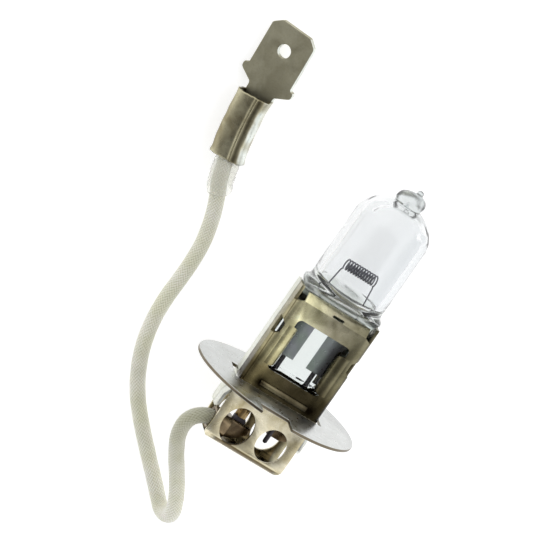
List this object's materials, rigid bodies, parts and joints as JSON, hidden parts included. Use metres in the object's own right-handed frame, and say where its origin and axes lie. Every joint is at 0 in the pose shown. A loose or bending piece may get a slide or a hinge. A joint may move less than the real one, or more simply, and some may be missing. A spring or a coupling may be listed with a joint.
{
  "type": "headlight bulb",
  "caption": "Halogen headlight bulb: pinched glass envelope with filament in a pressed cap on a round locating flange, with a short braided fly lead and blade terminal.",
  "frame": {"origin": "centre of the locating flange's glass-side face, on the lamp's axis", "axes": "-Y along the lamp's axis towards the glass tip, +Z out of the windowed front of the cap, +X to the side the lead leaves from"},
  "size_m": [0.0349, 0.0605, 0.022],
  "materials": {
    "bulb_glass": "clear, smooth",
    "tungsten": "drawn wire, dull",
    "foil": "thin etched foil",
    "lead_in_wire": "drawn wire, dull",
    "cap_nickel": "warm nickel-plated sheet, satin",
    "flange_steel": "bright plated sheet",
    "brass": "satin",
    "crimp_metal": "pressed sheet, satin",
    "copper_strand": "stranded wire",
    "glass_braid": "woven glass-fibre sleeve, cream",
    "sleeve_film": "thin translucent shrink sleeve",
    "terminal_metal": "tarnished plated sheet, satin"
  },
  "bodies": {
    "root": {"glass_bulb": "bulb_glass", "filament": "tungsten", "filament_leg_live": "tungsten", "filament_leg_earth": "tungsten", "foil_live": "foil", "foil_earth": "foil", "pin_live": "lead_in_wire", "pin_earth": "lead_in_wire", "front_shell": "cap_nickel", "rear_shell": "cap_nickel", "flange_ring": "flange_steel", "base_strap": "cap_nickel", "live_ferrule": "brass", "live_strap": "lead_in_wire", "conductor_crimp": "crimp_metal", "lead_clamp": "crimp_metal", "earth_tab": "cap_nickel", "lead_core": "copper_strand", "lead_braid": "glass_braid", "end_sleeve": "sleeve_film", "blade_terminal": "terminal_metal"}
  },
  "joints": []
}
